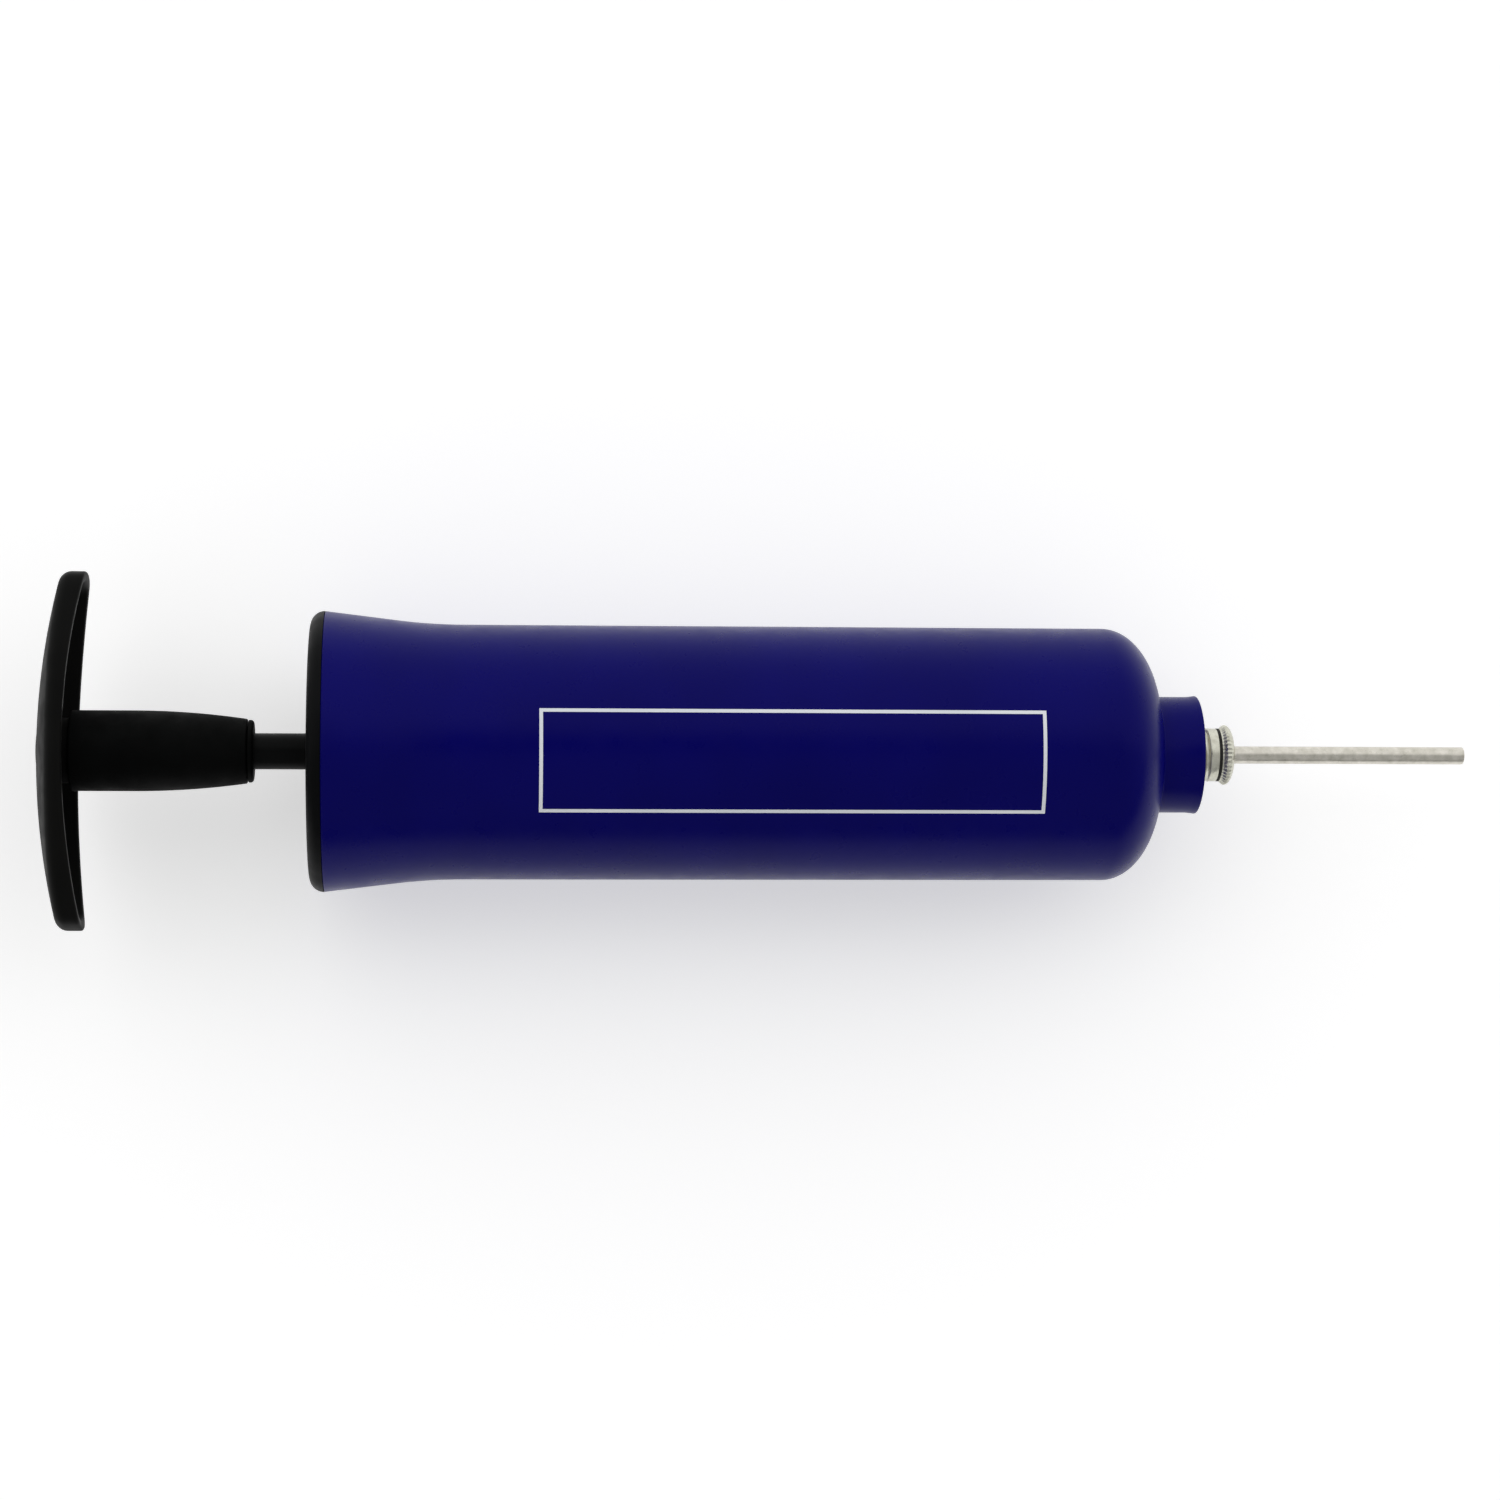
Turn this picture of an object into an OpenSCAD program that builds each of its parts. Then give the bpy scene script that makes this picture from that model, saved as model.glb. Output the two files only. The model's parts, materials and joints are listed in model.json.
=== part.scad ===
// Hand pump for inflating balls: a moulded barrel with a screw-in needle, and a plunger with a
// T-handle. The pump lies along X, with the needle towards +X and the T-bar along Y.
// The origin is on the pump's axis, at the middle of the barrel's straight part.
// Every profile of revolution is drawn as [radius, place along X].

/* [Barrel] */
// Radius of the barrel's straight part
barrel_r = 18; // [15:0.5:24]
// Length of the barrel's straight part
straight_len = 90.8; // [70:0.2:130]
// How far the flared mouth stands out past the straight part
flare_out = 1.8; // [0.2:0.1:4]
// Length of the flare between the straight part and the mouth
flare_len = 19.6; // [14:0.2:30]
// Length over which the flare bends out of the straight part
flare_bend = 9.6; // [4:0.2:13]
// Wall of the barrel's straight part
barrel_wall = 2; // [1.6:0.1:3]
// Length of the rounded shoulder at the needle end
dome_len = 7.8; // [6:0.1:12]
// Radius of the boss that holds the needle
boss_r = 8.3; // [7.6:0.1:10]
// Length of the boss
boss_len = 5.9; // [4:0.1:9]
// Height and width of the bead round the boss's end
boss_bead = 0.15; // [0.05:0.05:0.3]
// Thickness of the barrel's end wall behind the boss
end_wall = 2.5; // [2:0.1:4]

/* [End cap] */
// Thickness of the cap's plate, and radius of its rounded rim
cap_t = 2; // [1.6:0.1:3.5]
// Length of the spigot inside the barrel's mouth
spigot_len = 9; // [6:0.5:12]
// Depth of the step in the mouth that takes the spigot's wall
spigot_step = 1.2; // [0.8:0.1:1.6]
// Wall of the spigot
spigot_wall = 2.3; // [1.6:0.1:3]
// Length of the tube that guides the rod, under the plate
guide_len = 7; // [5:0.5:12]
// Wall of the guide tube
guide_wall = 2.2; // [1.4:0.1:3]
// Radius of an air hole in the plate
vent_r = 1.2; // [0.6:0.1:1.6]
// Number of air holes
vent_count = 4; // [2:1:8]
// Radius of the circle of air holes
vent_circle_r = 10; // [8:0.5:11]

/* [Plunger] */
// Radius of the rod
rod_r = 2.55; // [2.2:0.05:3.1]
// Length of rod that shows between the handle and the cap
shown_rod = 7.9; // [2:0.1:12]
// Length of rod above the handle's end, inside the handle
rod_in_handle = 25; // [22:0.5:28]
// Thickness of each plate of the piston
plate_t = 3; // [2:0.1:4]
// Thickness of the washer in front of the seal
front_t = 2; // [1.4:0.1:3]
// Section radius of the seal ring
ring_r = 1.55; // [1.2:0.05:1.8]
// Gap that lets the seal ring float along its groove
ring_float = 0.9; // [0.3:0.1:1.2]
// Number of air notches in the front washer
notch_count = 8; // [4:1:12]
// Length of the rubber stop on the rod
stop_len = 4; // [2:0.5:6]
// Radius of the rubber stop
stop_r = 5.6; // [4:0.1:7]

/* [Handle] */
// Length of the T-bar
bar_len = 50.6; // [44:0.2:70]
// Width of the T-bar across the pump
bar_w = 24.4; // [20:0.2:30]
// Thickness of the T-bar at its middle, from its outer face to its rim
bar_t = 4.5; // [3.6:0.1:6]
// Bow radius of the T-bar's outer face
bow_r = 101; // [80:1:140]
// Bow radius of the T-bar's rim
rim_bow_r = 142; // [100:1:200]
// Crown radius of the outer face across the bar
crown_r = 30; // [25:1:60]
// Width to which the T-bar's oval outline narrows at its ends, before they are rounded
bar_tip_w = 8; // [6:0.5:12]
// Radius of each rounded end of the outline
bar_end_r = 11.5; // [11:0.5:14]
// Wall of the T-bar round its hollow underside
bar_wall = 1.8; // [1.4:0.1:2.2]
// Radius of the grip sleeve
sleeve_r = 5.68; // [5.2:0.02:7]
// Length of the sleeve and the ferrule at its end
sleeve_len = 25.5; // [24:0.1:31]
// Length of the sleeve's rounded taper
taper_len = 16.6; // [8:0.1:20]
// Radius of the sleeve's small end
sleeve_end_r = 4.42; // [4.3:0.02:5]
// Wall of the sleeve round the bar's stud
sleeve_wall = 1.68; // [1.2:0.02:2]
// Gap between the plane of the T-bar's rim and the sleeve
neck_gap = 0.2; // [0:0.1:2]
// Width of the ferrule that closes the sleeve
ferrule_t = 0.75; // [0.5:0.05:1.5]

/* [Outlet and valve] */
// Radius of the outlet insert
insert_r = 5.5; // [5:0.1:6.5]
// Thickness of the insert's inner shoulder
insert_floor = 1.6; // [1:0.1:2.5]
// Thickness of the gasket under the needle
gasket_t = 1; // [0.6:0.1:1.6]
// Outer radius of the valve tower
tower_r = 7.5; // [6.5:0.1:9]
// Length of the valve tower
tower_len = 9.5; // [8.5:0.1:13]
// Radius of the valve ball
ball_r = 2.2; // [1.8:0.1:2.7]
// Radius of the hole in the valve seat
seat_hole_r = 1.6; // [1.2:0.1:1.7]
// Thickness of the seat and of the plug that holds it
seat_t = 1.2; // [0.8:0.1:1.6]
// Radius of the valve spring's wire
spring_wire_r = 0.2; // [0.15:0.01:0.25]
// Number of turns of the valve spring
spring_turns = 5; // [3:1:6]

/* [Needle] */
// Radius over the needle's thread
thread_r = 3.875; // [3.5:0.005:4]
// Length of thread that shows outside the boss
thread_shown = 1.85; // [1:0.05:3]
// Radius of the plain band beyond the thread
band_r = 3.8; // [3.4:0.05:3.9]
// Length of the plain band
band_len = 1.15; // [0.8:0.05:2]
// Width and depth of the groove for the rubber ring
ring_groove = 0.4; // [0.3:0.05:0.8]
// Radius of the knurled flange
flange_r = 4.3; // [4:0.05:6]
// Length over which the flange widens
flange_rise = 0.8; // [0.5:0.1:1.5]
// Length of the flange's domed front
flange_dome = 1.2; // [1:0.1:3]
// Radius of the needle tube
tube_r = 1; // [0.9:0.05:1.25]
// Length of tube beyond the flange
tube_len = 33.8; // [25:0.1:50]
// Wall of the needle tube
tube_wall = 0.4; // [0.3:0.05:0.5]

/* [Hidden] */
$fn = 96;
eps = 0.01;

// Clearances, all radial unless a name says otherwise
running_gap = 0.07;
seal_gap = 0.05;
thread_gap = 0.075;
end_gap = 0.1;
ball_gap = 0.05;
ball_guide_gap = 0.4;
washer_gap = 0.1;
plug_fit = 0.03;
tower_gap = 0.9;

// Screws
screw_r = 1.5;
screw_head_r = 3.4;
screw_head_t = 1.8;
handle_head_r = 2.9;
handle_head_t = 1.6;
screw_grip = 9.5;
handle_grip = 12;
cross_w = 0.9;
cross_len = 3.6;
cross_depth = 1;

// The barrel's radii that follow from its straight part
mouth_r = barrel_r + flare_out;
bore_r = barrel_r - barrel_wall;

// Places along X, from the mouth to the boss
straight_end = straight_len / 2;
mouth_x = -straight_end - flare_len;
cap_x = mouth_x - cap_t;
dome_end = straight_end + dome_len;
boss_end = dome_end + boss_len;
wall_x = dome_end - end_wall;
tower_x = wall_x - tower_len;

// Flare: bends out over flare_bend, then runs straight to the mouth
flare_steps = 8;
flare_slope = flare_out / (flare_len - flare_bend / 2);
function flare_reach(d) = d < flare_bend ? d * d / (2 * flare_bend) : d - flare_bend / 2;
function flare_r(d) = barrel_r + flare_slope * flare_reach(d);

// Shoulder: a quarter of an ellipse from the straight part to the boss's root
dome_steps = 20;
dome_flat = 1.9;
dome_flat_r = boss_r - dome_flat;
function dome_point(a) = [
    dome_flat_r + (barrel_r - dome_flat_r) * cos(a), straight_end + dome_len * sin(a)
];
bore_chamfer = 3;
bore_chamfer_len = 4.8;
bore_end = wall_x - bore_chamfer_len;

// Cap
spigot_r = bore_r + spigot_step;
guide_hole_r = rod_r + running_gap;
guide_r = guide_hole_r + guide_wall;
guide_end = mouth_x + guide_len;

// Handle
handle_end = cap_x - shown_rod;
sleeve_x = handle_end - sleeve_len;
rim_x = sleeve_x - neck_gap;
bar_x = rim_x - bar_t;
floor_x = bar_x + bar_wall;
bar_narrowing = (bar_w - bar_tip_w) / 2;
bar_side_r = (bar_len * bar_len / 4 + bar_narrowing * bar_narrowing) / (2 * bar_narrowing);
rod_x = handle_end - rod_in_handle;
stud_r = sleeve_r - sleeve_wall;
shoulder_step = 0.6;
shoulder_r = stud_r + shoulder_step;
ferrule_x = handle_end - ferrule_t;
ferrule_groove = 0.15;
ferrule_chamfer = 0.3;
ferrule_lip = 1;
ferrule_spigot_r = sleeve_end_r - ferrule_lip;
ferrule_spigot_len = 2.3;
sleeve_end = ferrule_x - ferrule_groove;
sleeve_step_x = sleeve_end - ferrule_spigot_len;
sleeve_web = 1.2;
stud_end = sleeve_step_x - sleeve_web;
taper_x = handle_end - taper_len;
handle_web = 2;
handle_head_x = rod_x - handle_web - handle_head_t;
plug_gap = 0.2;
handle_plug_r = handle_head_r + plug_gap;
handle_plug_t = 1.25;

// Piston, placed so that its screw stops short of the valve tower when the rod is fully in
plunger_in = shown_rod - end_gap;
screw_end = tower_x - tower_gap - plunger_in;
front_end = screw_end - screw_head_t;
groove_end = front_end - front_t;
groove_x = groove_end - 2 * ring_r - ring_float;
back_x = groove_x - plate_t;
socket_len = 5;
socket_r = 5.6;
socket_x = back_x - socket_len;
rod_web = 0.7;
rod_end = groove_x - rod_web;
stop_x = socket_x - stop_len;
ring_centre_r = bore_r - seal_gap - ring_r;
hub_r = ring_centre_r - ring_r - washer_gap;
ring_x = groove_x + ring_r + seal_gap;
piston_gap = 0.7;
notch_w = 3;
notch_depth = 2.2;

// Valve
seat_r = 4.5;
plug_end = tower_x + seat_t;
seat_end = plug_end + seat_t;
plug_hole_gap = 0.3;
plug_hole_r = seat_hole_r + plug_hole_gap;
ball_x = seat_end + sqrt(ball_r * ball_r - seat_hole_r * seat_hole_r) + ball_gap;
ball_guide_r = ball_r + ball_guide_gap;
slot_count = 4;
slot_w = 1.2;
slot_depth = 1;
slot_r = ball_guide_r + slot_depth;
spring_inset = 0.45;
spring_r = ball_r - spring_inset;
spring_touch = ball_r + spring_wire_r + ball_gap;
spring_start = ball_x + sqrt(spring_touch * spring_touch - spring_r * spring_r);
spring_end = wall_x - spring_wire_r;
spring_sides = 8;
spring_steps = 20;

// Outlet and needle
insert_bore_r = thread_r + thread_gap;
insert_hole_r = 1.5;
insert_seat_x = wall_x + insert_floor;
gasket_end = insert_seat_x + gasket_t;
shank_x = gasket_end + end_gap;
thread_end = boss_end + thread_shown;
band_end = thread_end + band_len;
groove_end_x = band_end + ring_groove;
ring_groove_depth = 0.35;
groove_r = band_r - ring_groove_depth;
flange_x = groove_end_x + flange_rise;
flange_end = flange_x + flange_dome;
flange_nose = 0.5;
flange_nose_r = tube_r + flange_nose;
flange_steps = 10;
tube_seat = 1.5;
tube_x = shank_x + tube_seat;
tube_end = flange_end + tube_len;
tube_root_step = 0.25;
tube_root_r = tube_r + tube_root_step;
tube_chamfer = 0.15;
air_r = tube_r - tube_wall;
needle_ring_gap = 0.03;

// A solid of revolution about the pump's axis
module turned() {
    rotate([0, 90, 0]) rotate_extrude() children();
}

// A round shaft along X between two places
module shaft(from, to, r) {
    translate([from, 0, 0]) rotate([0, 90, 0]) cylinder(h = to - from, r = r);
}

// A hollow shaft along X
module pipe(from, to, r, hole_r) {
    difference() {
        shaft(from, to, r);
        shaft(from - eps, to + eps, hole_r);
    }
}

// A screw along X, with its head at the end that dir points to and a cross recess in it
module screw(head_x, dir, head_r, head_t, length) {
    tip_x = head_x - dir * length;
    crown_x = head_x + dir * head_t;
    difference() {
        union() {
            shaft(min(tip_x, head_x), max(tip_x, head_x), screw_r);
            shaft(min(head_x, crown_x), max(head_x, crown_x), head_r);
        }
        for (turn = [0, 90])
            translate([crown_x, 0, 0]) rotate([turn, 0, 0])
                cube([2 * cross_depth, cross_w, cross_len], center = true);
    }
}

module barrel() {
    color([0.05, 0.05, 0.34]) difference() {
        union() {
            turned() polygon(concat(
                [[0, mouth_x]],
                [for (i = [0:flare_steps]) let (d = flare_len - i * (flare_len - flare_bend) / flare_steps)
                    [flare_r(d), -straight_end - d]],
                [for (i = [1:flare_steps]) let (d = flare_bend * (1 - i / flare_steps))
                    [flare_r(d), -straight_end - d]],
                [for (i = [0:dome_steps]) dome_point(90 * i / dome_steps)],
                [[0, dome_end]]
            ));
            shaft(dome_end - eps, boss_end, boss_r);
            shaft(boss_end - 4 * boss_bead, boss_end, boss_r + boss_bead);
        }
        difference() {
            turned() polygon([
                [0, mouth_x - eps], [bore_r, mouth_x - eps], [bore_r, bore_end],
                [bore_r - bore_chamfer, wall_x], [0, wall_x]
            ]);
            shaft(tower_x, wall_x + eps, tower_r);
        }
        shaft(mouth_x - eps, mouth_x + spigot_len, spigot_r);
        shaft(tower_x - eps, seat_end, seat_r);
        shaft(seat_end - eps, wall_x + eps, ball_guide_r);
        for (i = [0:slot_count - 1])
            rotate([i * 360 / slot_count, 0, 0])
                translate([seat_end - eps, -slot_w / 2, 0])
                    cube([wall_x - seat_end + eps, slot_w, slot_r]);
        shaft(wall_x, boss_end + eps, insert_r);
    }
}

module end_cap() {
    color([0.09, 0.09, 0.1]) difference() {
        union() {
            turned() {
                translate([0, cap_x]) square([mouth_r - cap_t, cap_t]);
                intersection() {
                    translate([mouth_r - cap_t, mouth_x]) circle(r = cap_t);
                    translate([mouth_r - cap_t - eps, cap_x]) square([cap_t + eps, cap_t]);
                }
            }
            pipe(mouth_x - eps, mouth_x + spigot_len, spigot_r, spigot_r - spigot_wall);
            shaft(mouth_x - eps, guide_end, guide_r);
        }
        shaft(cap_x - eps, guide_end + eps, guide_hole_r);
        for (i = [0:vent_count - 1])
            rotate([(i + 0.5) * 360 / vent_count, 0, 0])
                translate([0, vent_circle_r, 0]) shaft(cap_x - eps, mouth_x + eps, vent_r);
    }
}

module outlet_insert() {
    color([0.75, 0.74, 0.68]) difference() {
        shaft(wall_x, boss_end, insert_r);
        shaft(wall_x - eps, boss_end, insert_hole_r);
        shaft(insert_seat_x, boss_end + eps, insert_bore_r);
    }
}

module needle_gasket() {
    color([0.1, 0.1, 0.1]) pipe(insert_seat_x, gasket_end, insert_bore_r, insert_hole_r);
}

module valve_plug() {
    color([0.85, 0.85, 0.82]) pipe(tower_x, plug_end, seat_r, plug_hole_r);
}

module valve_seat() {
    color([0.12, 0.12, 0.12]) pipe(plug_end, seat_end, seat_r, seat_hole_r);
}

module valve_ball() {
    color([0.6, 0.15, 0.12]) translate([ball_x, 0, 0]) sphere(r = ball_r);
}

// One ring of points of the spring's wire, at a turn angle along the helix
function wire_ring(a) = [
    for (k = [0:spring_sides - 1]) let (
        b = 360 * k / spring_sides,
        r = spring_r + spring_wire_r * cos(b),
        x = spring_start + (spring_end - spring_start) * a / (360 * spring_turns) + spring_wire_r * sin(b)
    ) [x, r * cos(a), r * sin(a)]
];

module valve_spring() {
    rings = spring_turns * spring_steps;
    n = spring_sides;
    points = [for (i = [0:rings]) for (p = wire_ring(i * 360 / spring_steps)) p];
    sides = [for (i = [0:rings - 1]) for (k = [0:n - 1])
        [i * n + k, i * n + (k + 1) % n, (i + 1) * n + (k + 1) % n, (i + 1) * n + k]];
    ends = [[for (k = [n - 1:-1:0]) k], [for (k = [0:n - 1]) rings * n + k]];
    color([0.7, 0.7, 0.72]) polyhedron(points = points, faces = concat(sides, ends));
}

module piston_ring() {
    color([0.12, 0.12, 0.12]) turned() translate([ring_centre_r, ring_x]) circle(r = ring_r);
}

module piston_rod() {
    color([0.07, 0.08, 0.08]) difference() {
        shaft(rod_x, rod_end, rod_r);
        shaft(rod_x - eps, rod_x + handle_grip, screw_r);
        shaft(rod_end - screw_grip, rod_end + eps, screw_r);
    }
}

module piston_back() {
    color([0.8, 0.8, 0.78]) difference() {
        union() {
            shaft(back_x, groove_x, bore_r - piston_gap);
            shaft(groove_x - eps, groove_end, hub_r);
            shaft(socket_x, back_x + eps, socket_r);
        }
        shaft(socket_x - eps, rod_end, rod_r);
        shaft(rod_end - eps, groove_end + eps, screw_r + washer_gap);
    }
}

module piston_front() {
    color([0.8, 0.8, 0.78]) difference() {
        shaft(groove_end, front_end, bore_r - piston_gap);
        shaft(groove_end - eps, front_end + eps, screw_r + washer_gap);
        for (i = [0:notch_count - 1])
            rotate([i * 360 / notch_count, 0, 0])
                translate([groove_end - eps, -notch_w / 2, bore_r - piston_gap - notch_depth])
                    cube([front_t + 2 * eps, notch_w, 2 * notch_depth]);
    }
}

module piston_screw() {
    color([0.7, 0.7, 0.72])
        screw(front_end, 1, screw_head_r, screw_head_t, front_end - rod_end + screw_grip - end_gap);
}

module rod_stop() {
    color([0.12, 0.12, 0.12]) pipe(stop_x, socket_x, stop_r, rod_r);
}

// The T-bar's oval outline across the pump: two bowed sides that run into rounded ends
module bar_outline(inset) {
    end_y = bar_len / 2 - bar_end_r;
    intersection() {
        translate([bar_w / 2 - bar_side_r, 0]) circle(r = bar_side_r - inset, $fn = 360);
        translate([bar_side_r - bar_w / 2, 0]) circle(r = bar_side_r - inset, $fn = 360);
        union() {
            square([2 * bar_w, 2 * end_y], center = true);
            for (y = [-1, 1]) translate([0, y * end_y]) circle(r = bar_end_r - inset);
        }
    }
}

// A prism along X with the T-bar's outline
module bar_prism(from, to, inset) {
    translate([from, 0, 0]) rotate([0, 90, 0]) linear_extrude(to - from) bar_outline(inset);
}

// The space inside the bowed and crowned face that starts at x
module bowed(x, bow, crown) {
    translate([x + bow, 0, 0]) rotate_extrude($fn = 360) intersection() {
        translate([bow - crown, 0]) circle(r = crown, $fn = 360);
        translate([bow - crown, -bar_w]) square([crown, 2 * bar_w]);
    }
    translate([x + bow, 0, 0]) cylinder(h = 2 * bar_w, r = bow - crown + eps, center = true);
}

// The space inside a face bowed along the bar only
module rim_space(x, bow) {
    translate([x + bow, 0, 0]) cylinder(h = 2 * bar_w, r = bow, center = true, $fn = 360);
}

module handle_bar() {
    color([0.14, 0.14, 0.14]) difference() {
        union() {
            difference() {
                intersection() {
                    bar_prism(bar_x, sleeve_x + bar_t, 0);
                    bowed(bar_x, bow_r, crown_r);
                }
                rim_space(rim_x, rim_bow_r);
            }
            shaft(floor_x - eps, sleeve_x, shoulder_r);
            shaft(floor_x - eps, stud_end, stud_r);
        }
        difference() {
            intersection() {
                bar_prism(bar_x, sleeve_x + bar_t, bar_wall);
                rim_space(floor_x, bow_r - bar_wall);
            }
            shaft(bar_x, sleeve_x, shoulder_r);
            shaft(bar_x, stud_end + eps, stud_r);
        }
        shaft(rod_x, stud_end + eps, rod_r);
        shaft(handle_head_x, rod_x + eps, screw_r + washer_gap);
        shaft(bar_x - eps, handle_head_x + handle_head_t, handle_plug_r);
    }
}

module grip_sleeve() {
    taper_r = (taper_len * taper_len + pow(sleeve_r - sleeve_end_r, 2)) / (2 * (sleeve_r - sleeve_end_r));
    color([0.05, 0.05, 0.05]) difference() {
        turned() intersection() {
            translate([0, sleeve_x]) square([sleeve_r, sleeve_end - sleeve_x]);
            union() {
                translate([0, sleeve_x]) square([sleeve_r, taper_x - sleeve_x]);
                translate([sleeve_r - taper_r, taper_x]) circle(r = taper_r, $fn = 360);
            }
        }
        shaft(sleeve_x - eps, stud_end, stud_r);
        shaft(stud_end - eps, sleeve_step_x, rod_r + washer_gap);
        shaft(sleeve_step_x - eps, sleeve_end + eps, ferrule_spigot_r);
    }
}

module sleeve_ferrule() {
    color([0.09, 0.09, 0.09]) turned() polygon([
        [rod_r, sleeve_step_x], [ferrule_spigot_r, sleeve_step_x], [ferrule_spigot_r, ferrule_x],
        [sleeve_end_r, ferrule_x], [sleeve_end_r, handle_end - ferrule_chamfer],
        [sleeve_end_r - ferrule_chamfer, handle_end], [rod_r, handle_end]
    ]);
}

module handle_screw() {
    color([0.7, 0.7, 0.72])
        screw(handle_head_x + handle_head_t, -1, handle_head_r, handle_head_t,
                rod_x - handle_head_x - handle_head_t + handle_grip - end_gap);
}

module screw_plug() {
    plug_x = bar_x + end_gap;
    color([0.12, 0.12, 0.12]) shaft(plug_x, plug_x + handle_plug_t, handle_plug_r - plug_fit);
}

module needle_ring() {
    color([0.2, 0.19, 0.16])
        pipe(band_end + needle_ring_gap, groove_end_x - needle_ring_gap, band_r, groove_r + seal_gap);
}

module needle_base() {
    color([0.72, 0.71, 0.66]) difference() {
        turned() polygon(concat(
            [[0, shank_x], [thread_r, shank_x], [thread_r, thread_end], [band_r, thread_end],
             [band_r, band_end], [groove_r, band_end], [groove_r, groove_end_x], [band_r, groove_end_x]],
            [for (i = [0:flange_steps]) let (a = 90 * i / flange_steps)
                [flange_nose_r + (flange_r - flange_nose_r) * cos(a), flange_x + flange_dome * sin(a)]],
            [[0, flange_end]]
        ));
        shaft(shank_x - eps, tube_x, air_r);
        shaft(tube_x - eps, flange_end + eps, tube_root_r);
    }
}

module needle_tube() {
    color([0.82, 0.81, 0.77]) turned() polygon([
        [air_r, tube_x], [tube_root_r, tube_x], [tube_root_r, flange_end], [tube_r, flange_end],
        [tube_r, tube_end - tube_chamfer], [tube_r - tube_chamfer, tube_end], [air_r, tube_end]
    ]);
}

barrel();
end_cap();
outlet_insert();
needle_gasket();
valve_seat();
valve_plug();
valve_spring();
valve_ball();
piston_ring();
piston_rod();
piston_back();
piston_front();
piston_screw();
rod_stop();
handle_bar();
grip_sleeve();
sleeve_ferrule();
handle_screw();
screw_plug();
needle_ring();
needle_base();
needle_tube();
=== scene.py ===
"""A hand pump for inflating balls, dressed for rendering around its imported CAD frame.

Lengths here are in millimetres, and MM turns them into Blender's metres. The pump lies along X,
with the needle towards +X, the T-bar along Y and +Z up.
"""

import json
import math

import bpy
from mathutils import Matrix, Vector


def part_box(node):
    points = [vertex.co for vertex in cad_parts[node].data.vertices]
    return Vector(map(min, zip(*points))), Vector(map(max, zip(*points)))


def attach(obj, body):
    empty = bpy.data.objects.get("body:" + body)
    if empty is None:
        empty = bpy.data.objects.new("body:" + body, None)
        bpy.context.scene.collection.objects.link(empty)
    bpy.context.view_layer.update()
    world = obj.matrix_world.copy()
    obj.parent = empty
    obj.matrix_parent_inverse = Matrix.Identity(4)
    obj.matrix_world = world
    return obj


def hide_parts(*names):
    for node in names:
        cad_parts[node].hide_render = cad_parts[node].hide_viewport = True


MM = 0.001
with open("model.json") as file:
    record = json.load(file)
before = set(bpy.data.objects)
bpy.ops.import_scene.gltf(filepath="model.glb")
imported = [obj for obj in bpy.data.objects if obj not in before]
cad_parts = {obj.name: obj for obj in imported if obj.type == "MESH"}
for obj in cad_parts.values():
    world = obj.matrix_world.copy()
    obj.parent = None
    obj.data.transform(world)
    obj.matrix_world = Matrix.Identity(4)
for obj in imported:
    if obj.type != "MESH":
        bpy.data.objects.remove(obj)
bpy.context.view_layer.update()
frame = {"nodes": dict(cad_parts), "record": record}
scene = bpy.context.scene


def span(node):
    """Lowest and highest x of a CAD node, in millimetres."""
    low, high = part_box(node)
    return low.x / MM, high.x / MM


def radius(node):
    """Largest distance of a CAD node from the pump's axis, in millimetres."""
    low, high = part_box(node)
    return (high.z - low.z) / 2 / MM


# ---------------------------------------------------------------- sizes from the frame
MOUTH_X, BOSS_END = span("barrel")
BAR_X = span("handle_bar")[0]
SLEEVE_X, SLEEVE_END = span("grip_sleeve")
FERRULE_END = span("sleeve_ferrule")[1]
ROD_X, ROD_END = span("piston_rod")
INSERT_X = span("outlet_insert")[0]
INSERT_R = radius("outlet_insert")
BASE_X, FLANGE_END = span("needle_base")
TUBE_X, TUBE_END = span("needle_tube")
PLUG_X, PLUG_END = span("screw_plug")
PLUG_R = radius("screw_plug")
MOUTH_R = radius("barrel")
ROD_R = radius("piston_rod")
SLEEVE_R = radius("grip_sleeve")
FLANGE_R = radius("needle_base")
TUBE_R = radius("needle_tube")
BAR_HALF_LEN = (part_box("handle_bar")[1].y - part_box("handle_bar")[0].y) / 2 / MM
BAR_HALF_W = radius("handle_bar")
GRIP = next(m for m in frame["record"]["mounts"] if m["name"] == "barrel_grip")
BARREL_R = GRIP["dims"]["r_mm"]
STRAIGHT_END = GRIP["dims"]["length_mm"] / 2
FLARE_LEN = -STRAIGHT_END - MOUTH_X

# ---------------------------------------------------------------- sizes of the barrel
BARREL_WALL = 2.0
FLARE_BEND = 9.6
MOUTH_EDGE = 0.25
BOSS_LEN = 5.9
BOSS_R = 8.3
BOSS_ROOT = 0.18
BOSS_ROOT_GAP = 0.25
BOSS_EDGE = 0.16
BOSS_BEAD = 0.15
BOSS_BEAD_LEN = 1.4
BORE_CHAMFER = 0.1
BORE_CONE_R = 13.0
BORE_CONE_LEN = 4.8
DOME_FLAT_R = 6.4
DOME_END = BOSS_END - BOSS_LEN
SPIGOT_LEN = 9.0
SPIGOT_STEP = 1.2
SPIGOT_R = BARREL_R - BARREL_WALL + SPIGOT_STEP
PRINT_LINE = 0.5
PRINT_X = (-35.2, 34.9)
PRINT_TURN = (-13.6, 33.2)
PRINT_T = 0.025
PRINT_SIDE_STEPS = 24

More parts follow.
